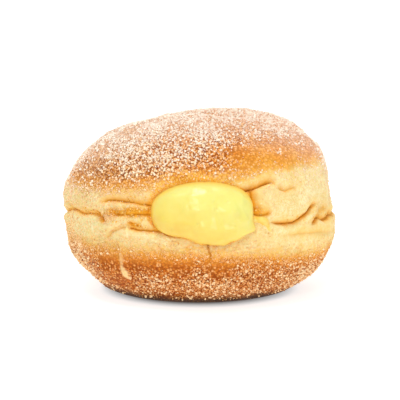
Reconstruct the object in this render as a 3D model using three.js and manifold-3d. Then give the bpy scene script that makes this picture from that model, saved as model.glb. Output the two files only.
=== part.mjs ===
// A custard-filled yeast doughnut: a round fried bun with a pale, folded belt, slit open at the front, and
// the custard that wells out of the slit. Millimetres, +Z up. The origin is the middle of the flat spot that
// the bun rests on, and the slit faces -Y. A bearing is an angle round the Z axis, in degrees: 0 is the front
// (-Y), 90 is the right side (+X), 180 is the back and -90 is the left side.

import * as THREE from "three";
import { mergeVertices } from "three/addons/utils/BufferGeometryUtils.js";
import Module from "manifold-3d";

// The bun: a squarish ellipsoid, fuller above than below its waist, that has sat down on a flat spot.
const BUN_WIDTH = 89;
const BUN_DEPTH = 86;
const BUN_HEIGHT = 59;
const WAIST_HEIGHT = 25.4;
const SUNK = 4.8; // how far below the table the round underside would reach if it weren't flattened
const CROWN_FULLNESS = 2.55; // exponents of the two halves: 2 is an ellipse, more is squarer
const BASE_FULLNESS = 2.44;
const FOOT_ROUNDING = 1.6; // half the height over which the underside rolls into the flat spot
const FOOT_FADE = 4; // below this height the surface relief dies away
const CROWN_LEAN = 0.078; // rise of the crown per millimetre to the right

// The pale belt, where the two fried sides meet: the heights of its lower and upper edges in front, how far
// they run off to the sides, and their heights at the back.
const BELT_LOW = 17.6;
const BELT_LOW_DROP = 3.4; // lower on the right
const BELT_LOW_BACK = 16.6;
const BELT_HIGH = 40.5;
const BELT_HIGH_DROP = 3.2; // lower on the left
const BELT_HIGH_RISE = 1.8; // higher on the right
const BELT_HIGH_BACK = 40.1;
const CRUST_FADE = 3.5; // height over which the belt turns into crust

// The custard: the outline of the dollop seen from the front, its bulge, and the pocket that it fills.
const DOLLOP_X = 1;
const DOLLOP_HEIGHT = 31.4;
const DOLLOP_HALF_WIDTH = 15.7;
const DOLLOP_HALF_HEIGHT = 9;
const DOLLOP_FULLNESS = 2.4;
const DOLLOP_BULGE = 6.6;
const DOLLOP_DOME_FULLNESS = 2.3;
const DOLLOP_SAG = 0.9;
const RIM_INSET = 1.3; // the widest section of the dollop lies this far behind the bun's foremost point
const RIM_SLANT = 0.2; // and leans back by this much per millimetre of height
const RIM_CURL_RADIUS = 50; // that section curves with the bun
const POCKET_DEPTH = 56;
const POCKET_THROAT = 0.2; // share by which the pocket narrows just inside the slit
const THROAT_AT = 0.16; // as shares of the pocket's depth
const THROAT_REACH = 0.1;
const POCKET_SWELL = 0.35; // share by which the pocket widens further in
const GAP = 0.35; // between custard and dough

// Local fullness of the dollop's outline: at an angle from +X towards +Z, in degrees.
const OUTLINE_LOBES = [
  { name: "tip", angle: -17, reach: 6, out: 2 },
  { name: "drip", angle: -54, reach: 7, out: 0.7 },
  { name: "low right", angle: -42, reach: 22, out: 0.6 },
  { name: "low left", angle: -130, reach: 27, out: -2 },
];
const SMALL_LOBE = 10; // a lobe that reaches less far than this is small
const SMALL_LOBE_FORWARD = 0.25; // share of the bulge at which the small lobes stand out furthest

// The dough is drawn in to the slit's rim over the distance MOAT, behind a lip that stands up by LIP.
const MOAT = 2.2;
const LIP = 0.6;
const LIP_FROM_RIM = 3.4;
const LIP_REACH = 2;

// Broad fullness of the bun, away from the plain form: out in millimetres, reach in degrees and in
// millimetres of height.
const SWELLS = [
  { name: "right lower lip", bearing: 82, height: 19.5, reach: [30, 6], out: 1.1 },
  { name: "right upper flank", bearing: 82, height: 32, reach: [28, 6], out: -1.1 },
  { name: "left upper flank", bearing: -84, height: 36, reach: [28, 7], out: 1 },
  { name: "left lower flank", bearing: -80, height: 14, reach: [30, 5], out: -0.6 },
  { name: "left underside", bearing: -80, height: 6, reach: [42, 4], out: -1.4 },
  { name: "left crown", bearing: -80, height: 57, reach: [60, 5], out: -0.8 },
  { name: "right crown", bearing: 64, height: 56, reach: [40, 5], out: -1.3 },
  { name: "right underside", bearing: 60, height: 5, reach: [40, 4], out: -0.6 },
  { name: "right lobe", bearing: 41, height: 33.5, reach: [13, 4.6], out: 1.5 },
  { name: "front lower lip", bearing: 0, height: 19.5, reach: [34, 3.5], out: 0.5 },
  { name: "left lower lip", bearing: -60, height: 23, reach: [16, 3.5], out: 0.5 },
];

// Folds and cracks: a path of [bearing, height], how deep and wide each is, how far its lips puff up, how
// much of its depth also cuts downwards behind its lower lip, and whether it starts or ends in the slit, at
// full depth.
const FOLDS = [
  {
    name: "upper left",
    path: [[-48, 33], [-42.8, 34.5], [-37.4, 35], [-31.6, 34.9], [-26, 34.5], [-17, 33.7]],
    depth: 2, width: 0.8, puff: 0.4, under: 0.3, open: "end",
  },
  {
    name: "toasted strip",
    path: [[-42, 29.8], [-35, 30.3], [-29, 30.8], [-25, 31], [-17, 30.9]],
    depth: 1.8, width: 1.1, puff: 0.3, under: 0.2, open: "end",
  },
  {
    name: "lower left",
    path: [[-41, 22.2], [-38.6, 24.2], [-35, 25.4], [-27.7, 26.2], [-21.3, 26], [-13, 26.2]],
    depth: 1.6, width: 0.8, puff: 0.3, under: 0.3, open: "end",
  },
  {
    name: "left seam",
    path: [[-104, 25.8], [-90, 26.1], [-80, 27.4], [-71, 29.2], [-56.3, 29.1], [-50.6, 29.7], [-42, 26.8]],
    depth: 1.8, width: 0.9, puff: 0.35, under: 0.3,
  },
  {
    name: "upper right",
    path: [[18, 37.6], [21.6, 38.1], [26.2, 38.8], [31.6, 39.6], [36.2, 39]],
    depth: 2.2, width: 0.8, puff: 0.45, under: 0.3, open: "start",
  },
  {
    name: "second right",
    path: [[34.5, 38], [37.5, 37], [39.3, 36.4], [42, 36.6], [48, 36.8]],
    depth: 1, width: 0.7, puff: 0.3, under: 0.1,
  },
  {
    name: "mouth corner",
    path: [[22.6, 37.6], [22.9, 35], [23.3, 32.7], [24, 31]],
    depth: 1.9, width: 1.2, puff: 0, under: 0, open: "start",
  },
  {
    name: "below the corner",
    path: [[21, 30.6], [27.4, 30.4], [32, 31]],
    depth: 1.5, width: 1, puff: 0.3, under: 0.2, open: "start",
  },
  {
    name: "right main",
    path: [[27.5, 27.9], [33.5, 27.5], [38, 27], [44.2, 27.1], [48, 28.2], [54.2, 30.2], [64, 30.8]],
    depth: 2.8, width: 1, puff: 0.6, under: 0.25,
  },
  {
    name: "right small",
    path: [[54, 25.2], [58.7, 26.3], [62, 26.8], [68.5, 25.9], [78, 26.2], [90, 24.8], [106, 26]],
    depth: 2, width: 0.9, puff: 0.4, under: 0.2,
  },
  {
    name: "centre crack",
    path: [[4, 23.6], [3.9, 21], [4.6, 18.4], [4.8, 14.6]],
    depth: 1, width: 0.6, puff: 0.2, under: 0, open: "start",
  },
  {
    name: "left crack",
    path: [[-35.4, 20], [-35.1, 18.2], [-35.5, 13.6]],
    depth: 0.8, width: 0.6, puff: 0.2, under: 0,
  },
  {
    name: "back seam",
    path: [[104, 25.6], [128, 26.8], [150, 25.4], [178, 27], [206, 25.8], [232, 27.6], [258, 26.2]],
    depth: 1.7, width: 1, puff: 0.4, under: 0.4,
  },
  {
    name: "back upper",
    path: [[122, 34], [140, 35.4], [160, 34.2]],
    depth: 1.1, width: 1, puff: 0.3, under: 0.3,
  },
  {
    name: "back lower",
    path: [[196, 21.4], [216, 20.2], [238, 21.6]],
    depth: 1, width: 0.9, puff: 0.3, under: 0.2,
  },
];
const FOLD_STEPS = 18; // straight pieces in each fold's path
const FOLD_TAPER = 0.22; // share of the path over which a closed end fades
const FOLD_WIDENING = 1.7; // the folds are this much wider than life, so that the faces can follow them
const PUFF_AWAY = 2.4; // where the lips puff up most and how far that reaches, in fold widths
const PUFF_REACH = 1.3;
const FOLD_REACH = 6;

// Gentle unevenness everywhere, and the gritty relief of the sugared crust.
const LUMP_WAVES = [
  { length: 34, out: 0.25 },
  { length: 17, out: 0.22 },
  { length: 9, out: 0.12 },
];
const WAVES_EACH = 5;
const GOLDEN_ANGLE = Math.PI * (3 - Math.sqrt(5));
const GRIT = 0.14;

// How finely the surfaces are divided.
const BUN_DETAIL = 22; // each side of an icosahedron is cut into one more piece than this
const FRONT_CROWDING = 0.42; // the share by which faces are smaller than average at the front
const BELT_CROWDING = 0.34; // the share by which they are lower than average at the waist
const CUSTARD_COLUMNS = 44;
const DOME_ROWS = 11;
const POCKET_ROWS = 12;

const radians = THREE.MathUtils.degToRad;
const degrees = THREE.MathUtils.radToDeg;
const clamp = THREE.MathUtils.clamp;
const lerp = THREE.MathUtils.lerp;
const smoothstep = THREE.MathUtils.smoothstep;
const bell = (x) => Math.exp(-x * x);
const turn = (bearing) => ((((bearing + 180) % 360) + 360) % 360) - 180; // to between -180 and 180

// ---- The plain bun ----

const halfHeight = (up) => (up > 0 ? BUN_HEIGHT - WAIST_HEIGHT : WAIST_HEIGHT + SUNK);
const fullness = (up) => (up > 0 ? CROWN_FULLNESS : BASE_FULLNESS);

// Where a ray from the middle of the waist meets the plain surface, before the bun settles.
function surfaceAlong(ray) {
  const level = Math.hypot(ray.x / (BUN_WIDTH / 2), ray.y / (BUN_DEPTH / 2));
  const n = fullness(ray.z);
  const far = (level ** n + (Math.abs(ray.z) / halfHeight(ray.z)) ** n) ** (-1 / n);
  return new THREE.Vector3(ray.x * far, ray.y * far, WAIST_HEIGHT + ray.z * far);
}

// The point of the plain surface at a bearing and a height.
function surfaceAt(bearing, height) {
  const up = height - WAIST_HEIGHT;
  const n = fullness(up);
  const share = (1 - Math.min(1, Math.abs(up) / halfHeight(up)) ** n) ** (1 / n);
  const across = Math.sin(radians(bearing));
  const forward = Math.cos(radians(bearing));
  const far = share / Math.hypot(across / (BUN_WIDTH / 2), forward / (BUN_DEPTH / 2));
  return new THREE.Vector3(far * across, -far * forward, height);
}

const bearingOf = (p) => degrees(Math.atan2(p.x, -p.y));

// The way out of the plain surface at p.
function outward(p) {
  const up = p.z - WAIST_HEIGHT;
  const n = fullness(up);
  const level = Math.max(Math.hypot(p.x / (BUN_WIDTH / 2), p.y / (BUN_DEPTH / 2)), 1e-6) ** (n - 2);
  return new THREE.Vector3(
    (level * p.x) / (BUN_WIDTH / 2) ** 2,
    (level * p.y) / (BUN_DEPTH / 2) ** 2,
    (Math.sign(up) * Math.abs(up) ** (n - 1)) / halfHeight(up) ** n,
  ).normalize();
}

// The underside rolls into the flat spot at height 0.
function settle(height) {
  if (height < -FOOT_ROUNDING) return 0;
  if (height > FOOT_ROUNDING) return height;
  return (height + FOOT_ROUNDING) ** 2 / (4 * FOOT_ROUNDING);
}

// The crown leans: everything above the waist rises a little towards the right.
function lean(p) {
  const up = clamp((p.z - WAIST_HEIGHT) / (BUN_HEIGHT - WAIST_HEIGHT), 0, 1);
  return p.setZ(p.z + CROWN_LEAN * p.x * up);
}

// ---- Relief ----

// Smooth unevenness: a few plane waves in directions spread by the golden angle.
function lumps(p) {
  let sum = 0;
  LUMP_WAVES.forEach(({ length, out }, octave) => {
    for (let k = 0; k < WAVES_EACH; k++) {
      const around = GOLDEN_ANGLE * (k + WAVES_EACH * octave);
      const rise = ((k + 0.5) / WAVES_EACH) * 2 - 1;
      const level = Math.sqrt(1 - rise * rise);
      const along = p.x * level * Math.cos(around) + p.y * level * Math.sin(around) + p.z * rise;
      const wave = Math.sin((2 * Math.PI * along) / length + 2 * k + octave);
      sum += (out * wave) / Math.sqrt(WAVES_EACH / 2);
    }
  });
  return sum;
}

// How fried the surface is: 0 in the pale belt, 1 on the browned crust.
function fried(bearing, height) {
  const atBack = smoothstep(Math.abs(bearing), 110, 180);
  const drop = BELT_HIGH_DROP * smoothstep(-bearing, 12, 45);
  const rise = BELT_HIGH_RISE * smoothstep(bearing, 10, 42);
  const top = lerp(BELT_HIGH - drop + rise, BELT_HIGH_BACK, atBack);
  const bottom = lerp(BELT_LOW - BELT_LOW_DROP * smoothstep(bearing, -12, 60), BELT_LOW_BACK, atBack);
  const above = smoothstep(height, top, top + CRUST_FADE);
  const below = 1 - smoothstep(height, bottom - CRUST_FADE, bottom);
  return Math.max(above, below);
}

// A number from -1 to 1 that jumps about from one vertex to the next, always the same there.
function grit(vertex) {
  const x = Math.sin(vertex * 12.9898) * 43758.5453;
  return 2 * (x - Math.floor(x)) - 1;
}

// A fold's path on the plain bun, smoothed and cut into straight pieces.
function foldLine({ path }) {
  const stops = path.map(([bearing, height]) => new THREE.Vector3(bearing, height, 0));
  const curve = new THREE.CatmullRomCurve3(stops);
  return curve.getPoints(FOLD_STEPS).map((q) => surfaceAt(q.x, q.y));
}
FOLDS.forEach((fold) => (fold.line = foldLine(fold)));

// The distance from p to a line of points, and the share of the line at the nearest place.
function nearest(p, line) {
  const closest = new THREE.Vector3();
  const piece = new THREE.Line3();
  let best = { distance: Infinity, share: 0 };
  for (let i = 0; i + 1 < line.length; i++) {
    piece.set(line[i], line[i + 1]);
    const t = piece.closestPointToPointParameter(p, true);
    const distance = piece.at(t, closest).distanceTo(p);
    if (distance < best.distance) best = { distance, share: (i + t) / (line.length - 1) };
  }
  return best;
}

// What the folds do at p: how far the surface sinks, and how far it is drawn down behind a lower lip.
function folded(p) {
  let sink = 0;
  let draw = 0;
  for (const { line, depth, width, puff, under, open } of FOLDS) {
    const { distance, share } = nearest(p, line);
    const wide = width * FOLD_WIDENING;
    if (distance > FOLD_REACH * wide) continue;
    const start = open === "start" ? 1 : smoothstep(share, 0, FOLD_TAPER);
    const end = open === "end" ? 1 : 1 - smoothstep(share, 1 - FOLD_TAPER, 1);
    const groove = depth * start * end * Math.exp(-distance / wide);
    sink += groove - puff * start * end * bell((distance / wide - PUFF_AWAY) / PUFF_REACH);
    draw += under * groove;
  }
  return { sink, draw };
}

// ---- The custard's outline and the rim of the slit ----

// The outline's radius at an angle in the front view. The small lobes hang in front of the slit, so the slit
// itself leaves them out.
function outline(angle, small = 0) {
  const across = Math.abs(Math.cos(angle)) / DOLLOP_HALF_WIDTH;
  const up = Math.abs(Math.sin(angle)) / DOLLOP_HALF_HEIGHT;
  let radius = (across ** DOLLOP_FULLNESS + up ** DOLLOP_FULLNESS) ** (-1 / DOLLOP_FULLNESS);
  for (const lobe of OUTLINE_LOBES) {
    const weight = lobe.reach < SMALL_LOBE ? small : 1;
    radius += weight * lobe.out * bell(turn(degrees(angle) - lobe.angle) / lobe.reach);
  }
  return radius;
}

// The depth, along Y, of the dollop's widest section.
function rimDepth(x, z) {
  const curl = (x - DOLLOP_X) ** 2 / (2 * RIM_CURL_RADIUS);
  return -BUN_DEPTH / 2 + RIM_INSET + RIM_SLANT * (z - DOLLOP_HEIGHT) + curl;
}

// The dough round the slit is drawn in to the rim, and stands up in a lip just outside it.
function drawnIn(p) {
  if (p.y > 0) return p;
  const x = p.x - DOLLOP_X;
  const up = p.z - DOLLOP_HEIGHT;
  const outside = Math.hypot(x, up) - outline(Math.atan2(up, x));
  p.y -= LIP * bell((outside - LIP_FROM_RIM) / LIP_REACH);
  p.y += Math.max(0, rimDepth(p.x, p.z) - p.y) * (1 - smoothstep(outside, 0, MOAT));
  return p;
}

// ---- Solids ----

// A closed surface from rings of points, with a point at each end.
function closedSurface(first, rings, last) {
  const points = [first, ...rings.flat(), last];
  const around = rings[0].length;
  const faces = [];
  const at = (ring, k) => 1 + ring * around + (k % around);
  for (let k = 0; k < around; k++) {
    faces.push(0, at(0, k + 1), at(0, k));
    for (let ring = 0; ring + 1 < rings.length; ring++) {
      faces.push(at(ring, k), at(ring, k + 1), at(ring + 1, k + 1));
      faces.push(at(ring, k), at(ring + 1, k + 1), at(ring + 1, k));
    }
    faces.push(points.length - 1, at(rings.length - 1, k), at(rings.length - 1, k + 1));
  }
  const geometry = new THREE.BufferGeometry().setFromPoints(points);
  return geometry.setIndex(faces);
}

// Moves a point of the plain surface to the finished one.
function doughPoint(plain, vertex) {
  const bearing = bearingOf(plain);
  const relief = smoothstep(plain.z, 0, FOOT_FADE);
  let out = lumps(plain) + GRIT * grit(vertex) * fried(bearing, plain.z);
  for (const swell of SWELLS) {
    const off = turn(bearing - swell.bearing) / swell.reach[0];
    out += swell.out * bell(Math.hypot(off, (plain.z - swell.height) / swell.reach[1]));
  }
  const { sink, draw } = folded(plain);
  const p = plain.clone().addScaledVector(outward(plain), (out - sink) * relief);
  p.z = settle(p.z - draw * relief);
  return lean(drawnIn(p));
}

// The bun is a ball of even faces, which crowd together towards the front and the belt.
function bunSurface() {
  const geometry = new THREE.IcosahedronGeometry(1, BUN_DETAIL);
  geometry.deleteAttribute("normal");
  geometry.deleteAttribute("uv");
  const ball = mergeVertices(geometry);
  const positions = ball.attributes.position;
  const ray = new THREE.Vector3();
  for (let i = 0; i < positions.count; i++) {
    ray.fromBufferAttribute(positions, i);
    const up = Math.asin(ray.z);
    const round = Math.atan2(ray.x, -ray.y);
    const nearBelt = up - (BELT_CROWDING / 2) * Math.sin(2 * up);
    const level = Math.cos(nearBelt);
    ray.set(level * Math.sin(round), -level * Math.cos(round), Math.sin(nearBelt));
    const off = Math.acos(clamp(-ray.y, -1, 1));
    const nearFront = off - FRONT_CROWDING * Math.sin(off);
    const side = Math.sin(nearFront) / Math.max(Math.sin(off), 1e-6);
    ray.set(ray.x * side, -Math.cos(nearFront), ray.z * side);
    const p = doughPoint(surfaceAlong(ray), i);
    positions.setXYZ(i, p.x, p.y, p.z);
  }
  return ball;
}

// The custard, or the pocket for it when grown: a dome in front of the rim, and behind it the filling that
// runs back through the crumb.
function custardSurface(grow) {
  const rings = [];
  const ringAt = (scale, depth, sag, small) => {
    const ring = [];
    for (let k = 0; k < CUSTARD_COLUMNS; k++) {
      const angle = -(2 * Math.PI * k) / CUSTARD_COLUMNS;
      const radius = outline(angle, small) * scale + grow;
      const x = DOLLOP_X + radius * Math.cos(angle);
      const z = DOLLOP_HEIGHT + radius * Math.sin(angle) - sag;
      ring.push(lean(new THREE.Vector3(x, rimDepth(x, z) + depth, z)));
    }
    return ring;
  };
  const power = 2 / DOLLOP_DOME_FULLNESS;
  for (let i = 1; i <= DOME_ROWS; i++) {
    const angle = ((Math.PI / 2) * i) / DOME_ROWS;
    const forward = Math.cos(angle) ** power;
    const small = bell((forward - SMALL_LOBE_FORWARD) / SMALL_LOBE_FORWARD);
    const depth = -(DOLLOP_BULGE + grow) * forward;
    rings.push(ringAt(Math.sin(angle) ** power, depth, DOLLOP_SAG * forward, small));
  }
  for (let i = 1; i < POCKET_ROWS; i++) {
    const t = Math.sin(((Math.PI / 2) * i) / POCKET_ROWS);
    const throat = POCKET_THROAT * bell((t - THROAT_AT) / THROAT_REACH);
    const swell = POCKET_SWELL * Math.sin(Math.PI * t) ** 2;
    const closing = Math.sqrt(1 - t ** 4);
    rings.push(ringAt((1 - throat + swell) * closing, (POCKET_DEPTH + grow) * t, 0, 0));
  }
  const middle = (depth, z) => lean(new THREE.Vector3(DOLLOP_X, rimDepth(DOLLOP_X, z) + depth, z));
  const front = middle(-DOLLOP_BULGE - grow, DOLLOP_HEIGHT - DOLLOP_SAG);
  const back = middle(POCKET_DEPTH + grow, DOLLOP_HEIGHT);
  return closedSurface(front, rings, back);
}

// ---- Cutting the pocket ----

const wasm = await Module();
wasm.setup();

function toSolid(geometry) {
  const merged = mergeVertices(geometry);
  const triVerts = new Uint32Array(merged.index.array);
  return new wasm.Manifold(
    new wasm.Mesh({ numProp: 3, vertProperties: merged.attributes.position.array, triVerts }),
  );
}

function toGeometry(solid) {
  const { vertProperties, triVerts } = solid.getMesh();
  const geometry = new THREE.BufferGeometry();
  geometry.setAttribute("position", new THREE.BufferAttribute(vertProperties, 3));
  geometry.setIndex(new THREE.BufferAttribute(triVerts, 1));
  geometry.computeVertexNormals();
  return geometry;
}

function dough() {
  const cut = toSolid(bunSurface()).subtract(toSolid(custardSurface(GAP)));
  const material = new THREE.MeshStandardMaterial({ color: 0xd8924f, roughness: 0.85, metalness: 0 });
  const mesh = new THREE.Mesh(toGeometry(cut), material);
  mesh.name = "dough";
  return mesh;
}

function custard() {
  const material = new THREE.MeshStandardMaterial({ color: 0xfbe36f, roughness: 0.35, metalness: 0 });
  const mesh = new THREE.Mesh(custardSurface(0), material);
  mesh.geometry.computeVertexNormals();
  mesh.name = "custard";
  return mesh;
}

const doughnut = new THREE.Group();
doughnut.name = "custard_doughnut";
doughnut.add(dough(), custard());

export default doughnut;
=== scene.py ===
# A custard-filled, sugared yeast doughnut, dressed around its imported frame: the dough with its folded belt,
# the custard that wells out of the slit, a thin smear of it on the lip, a few crumbs, and the sugar as real
# grains.
#
# Shapes are worked out in millimetres and turned into metres by SCALE. A bearing is an angle round the Z axis
# in degrees: 0 is the front (-Y), 90 the right side (+X), 180 the back and -90 the left side.

import math

import bpy
import numpy as np
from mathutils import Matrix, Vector, bvhtree, kdtree, noise


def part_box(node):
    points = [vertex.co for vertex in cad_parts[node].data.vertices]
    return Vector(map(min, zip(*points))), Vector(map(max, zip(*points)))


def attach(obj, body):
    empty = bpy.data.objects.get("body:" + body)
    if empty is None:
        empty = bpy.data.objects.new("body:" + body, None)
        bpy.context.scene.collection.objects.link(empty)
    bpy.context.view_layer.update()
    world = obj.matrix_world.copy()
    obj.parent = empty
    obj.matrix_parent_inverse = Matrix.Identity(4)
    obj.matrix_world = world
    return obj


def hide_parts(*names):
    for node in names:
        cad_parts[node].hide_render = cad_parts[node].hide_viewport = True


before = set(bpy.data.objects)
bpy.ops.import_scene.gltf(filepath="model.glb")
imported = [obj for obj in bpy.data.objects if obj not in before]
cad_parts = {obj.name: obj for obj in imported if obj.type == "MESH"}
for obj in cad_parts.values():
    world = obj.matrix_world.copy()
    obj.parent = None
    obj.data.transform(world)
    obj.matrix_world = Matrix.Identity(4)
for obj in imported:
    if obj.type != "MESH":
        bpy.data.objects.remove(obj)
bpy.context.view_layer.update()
dough_low, dough_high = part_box("dough")

DOUGH_WIDTH = 90.5  # millimetres, the finished width of the dough that the numbers below describe
SCALE = (dough_high.x - dough_low.x) / DOUGH_WIDTH

# The bun: a squarish ellipsoid, fuller above than below its waist, that has sat down on a flat spot.
BUN_WIDTH = 89
BUN_DEPTH = 86
BUN_HEIGHT = 59
WAIST_HEIGHT = 25.4
SUNK = 4.8
CROWN_FULLNESS = 2.55
BASE_FULLNESS = 2.44
FOOT_ROUNDING = 1.6
FOOT_FADE = 4
RESTS = 0.14  # how high the sugar under the flat spot holds it
CROWN_LEAN = 0.078

# The pale belt between the two fried sides, and the bearings between which its edges change.
BELT_LOW = 17.6
BELT_LOW_DROP = 3.4  # lower on the right
BELT_LOW_DROPS = (-12, 60)
BELT_LOW_BACK = 16.6
BELT_HIGH = 40.5
BELT_HIGH_DROP = 2.4  # lower on the left
BELT_HIGH_DROPS = (10, 40)
BELT_HIGH_RISE = 2.4  # higher on the right
BELT_HIGH_RISES = (14, 36)
BELT_HIGH_BACK = 40.1
BACK = (110, 180)
CROWN_FRIES = (-1.5, 2)  # millimetres round the crown's edge between which the dough goes from pale to fried
BASE_FRIES = (-2.5, 1.5)  # the same round the base's edge
BASE_LOOKS = (-5, 2)  # and those between which the base gets its own shade

# The custard's dollop, the slit's rim and the pocket behind it.
DOLLOP_X = 1
DOLLOP_HEIGHT = 31.4
DOLLOP_HALF_WIDTH = 15.7
DOLLOP_HALF_HEIGHT = 9
DOLLOP_FULLNESS = 2.4
DOLLOP_BULGE = 6.6
DOLLOP_DOME_FULLNESS = 2.3
DOLLOP_SAG = 0.9
RIM_INSET = 1.3
RIM_SLANT = 0.2
RIM_CURL_RADIUS = 50
POCKET_DEPTH = 56
POCKET_THROAT = 0.2
THROAT_AT = 0.16
THROAT_REACH = 0.1
POCKET_SWELL = 0.35
GAP = -0.15  # the custard clings to the rim, so the pocket is cut a little narrower than it
SMALL_LOBE = 10
SMALL_LOBE_FORWARD = 0.25
OUTLINE_LOBES = [  # angle from +X towards +Z and reach in degrees, out in millimetres
    (-17, 6, 2.0),  # the tip
    (-54, 7, 0.7),  # the drip
    (-42, 22, 0.6),  # fuller below on the right
    (-130, 27, -2.0),  # and leaner on the left
    (97, 48, 0.45),  # a little fuller on top
]
CUSTARD_SWELLS = [  # soft forms of the custard's face: x, z, reach along each, and how far out
    (-8.0, 36.6, 3.4, 1.7, 0.7),
    (-9.6, 29.4, 2.4, 1.5, 0.6),
    (-6.4, 32.6, 1.6, 2.6, -0.4),
    (9.4, 32.6, 2.4, 2.0, 1.1),
    (12.8, 36.6, 1.5, 2.4, 0.7),
    (2.2, 28.0, 2.8, 1.5, 0.6),
    (5.6, 31.4, 1.4, 3.2, -0.6),
    (4.6, 36.2, 2.6, 1.0, -0.45),
    (-1.6, 36.8, 2.0, 1.0, 0.3),
    (12.6, 29.6, 2.4, 1.1, 0.45),
    (8.8, 28.6, 2.6, 1.0, -0.4),
]
CUSTARD_WAVES = [(7.0, 0.6, 2.0), (2.6, 0.2, 5.0)]  # its unevenness: blobs and out in millimetres, and seed
FACE_FADE = 1  # these forms come in from this far behind the rim to this far before the plain bun's front
PITS = [  # tiny bubbles in the custard's face: x, z, radius and depth
    (-0.2, 29.2, 0.55, 0.35),
    (-3.0, 34.0, 0.5, 0.3),
    (5.4, 33.6, 0.7, 0.25),
    (8.6, 35.6, 0.4, 0.25),
    (-8.3, 27.2, 0.45, 0.25),
    (10.8, 28.4, 0.6, 0.3),
]
MOAT = 1.3
LIP = 0.6
LIP_FROM_RIM = 3.4
LIP_REACH = 2

# Broad fullness of the bun: bearing, height, reach in degrees and millimetres, and how far out.
SWELLS = [
    (82, 19.5, 30, 6, 1.1),  # right lower lip
    (82, 32, 28, 6, -1.1),  # right upper flank
    (-84, 36, 28, 7, 0.8),  # left upper flank
    (-80, 14, 30, 5, -0.6),  # left lower flank
    (-80, 6, 42, 4, -1.4),  # left underside
    (-80, 57, 60, 5, -0.8),  # left crown
    (64, 56, 40, 5, -1.7),  # right crown
    (60, 5, 40, 4, -0.6),  # right underside
    (41, 33.5, 13, 4.6, 1.5),  # right lobe
    (0, 19.5, 34, 3.5, 0.5),  # front lower lip
    (-60, 23, 16, 3.5, 0.5),  # left lower lip
]

# Folds: the line as (bearing, height), depth, width, puff of the lips, share of the depth that cuts downwards
# behind the lower lip, and the end that opens into the slit.
FOLDS = {
    "upper_left": (
        [(-48, 33), (-42.8, 34.5), (-37.4, 35), (-31.6, 34.9), (-26, 34.5), (-17, 33.7)],
        1.5, 1.0, 0.4, 0.2, "end",
    ),
    "toasted_strip": (
        [(-42, 29.8), (-35, 30.3), (-29, 30.8), (-25, 31), (-17, 30.9)], 1.4, 1.2, 0.3, 0.15, "end",
    ),
    "lower_left": ([(-31.5, 26.2), (-27.7, 26), (-21.3, 26), (-13, 26.2)], 1.5, 0.7, 0.25, 0.15, "end"),
    "lower_left_tail": (
        [(-42, 21.4), (-39, 24), (-36.5, 25.2), (-33, 26), (-29.5, 26.3)], 0.8, 0.7, 0.2, 0.1, None,
    ),
    "lower_left_lens": ([(-31.5, 28.1), (-27.7, 27.5), (-23, 26.8)], 1.3, 0.7, 0.1, 0.0, None),
    "left_seam": (
        [(-104, 25), (-90, 25.2), (-80, 26.8), (-71, 29), (-62.7, 29.4), (-56.3, 29.1), (-50.6, 29.7),
         (-45, 28.5), (-42, 26.8)],
        1.4, 0.8, 0.2, 0.2, None,
    ),
    "left_seam_branch": ([(-78, 30.2), (-71, 30.4), (-64, 28.6)], 0.8, 0.6, 0.2, 0.1, None),
    "left_corner": ([(-50, 31.2), (-46, 29), (-42.5, 26.6)], 1.3, 0.75, 0.0, 0.1, None),
    "upper_right": (
        [(18, 37.6), (21.6, 38.1), (26.2, 38.8), (31.6, 39.6), (36.2, 39)], 1.9, 0.8, 0.45, 0.25, "start",
    ),
    "second_right": (
        [(34.5, 38), (37.5, 37), (39.3, 36.4), (42, 36.6), (48, 36.8)], 1.0, 0.6, 0.3, 0.1, None,
    ),
    "mouth_corner": ([(22.6, 37.6), (22.9, 35), (23.3, 32.7), (24, 31)], 1.9, 1.1, 0.0, 0.0, "start"),
    "below_the_corner": ([(21, 30.6), (27.4, 30.4), (32, 31)], 1.5, 1.0, 0.3, 0.2, "start"),
    "right_main": (
        [(27.5, 27.9), (33.5, 27.5), (38, 27), (44.2, 27.1), (48, 28.2), (54.2, 30.2), (58.3, 31.1),
         (64, 30.8)],
        1.8, 0.62, 0.45, 0.25, None,
    ),
    "right_small": (
        [(51.5, 25), (56.5, 26.2), (60, 26.9), (66.5, 25.9), (77, 26.2), (90, 24.8), (106, 26)],
        2.0, 0.9, 0.4, 0.35, None,
    ),
    "right_upper_dent": ([(58, 28.6), (66, 28.8), (74, 28.2)], 0.8, 0.9, 0.2, 0.1, None),
    "soft_wrinkle": ([(36, 23.2), (46, 23), (56, 22.7), (68, 21.4), (84, 20.2)], 0.45, 0.7, 0.2, 0.1, None),
    "back_seam": (
        [(104, 25.6), (128, 26.8), (150, 25.4), (178, 27), (206, 25.8), (232, 27.6), (258, 26.2)],
        1.7, 1.0, 0.4, 0.4, None,
    ),
    "back_upper": ([(122, 34), (140, 35.4), (160, 34.2)], 1.1, 1.0, 0.3, 0.3, None),
    "back_lower": ([(196, 21.4), (216, 20.2), (238, 21.6)], 1.0, 0.9, 0.3, 0.2, None),
}
CRACKS = [  # thin upright splits: the line as (bearing, height), depth and width
    ([(4, 23.6), (3.7, 21.8), (4.2, 20), (4.9, 18.4), (4.5, 17), (4.8, 14)], 0.9, 0.5),
    ([(-35.4, 20.6), (-35.1, 18.2), (-35.8, 15.8), (-35.3, 13)], 0.5, 0.42),
    ([(-37.5, 19.2), (-37.2, 16.4)], 0.3, 0.4),
]
CRACK_WOBBLE = 0.4
CRACK_BLOBS = 1.2
CRACK_ENDS = 0.7  # the share of its length from which a crack runs out
WOBBLE = [(3.0, 0.32), (1.1, 0.18)]  # blobs in millimetres and how far they bend the folds' lines up and down
ROLL = 1.8  # how much wider than its width a groove is above its line
LIP_SHARPNESS = 0.6  # and how much narrower below it
LIP_TURN = 0.7  # height above or below the line, by the distance from it, at which that width is reached
FOLD_STEPS = 24
FOLD_TAPER = 0.22
PUFF_AWAY = 2.4
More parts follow.
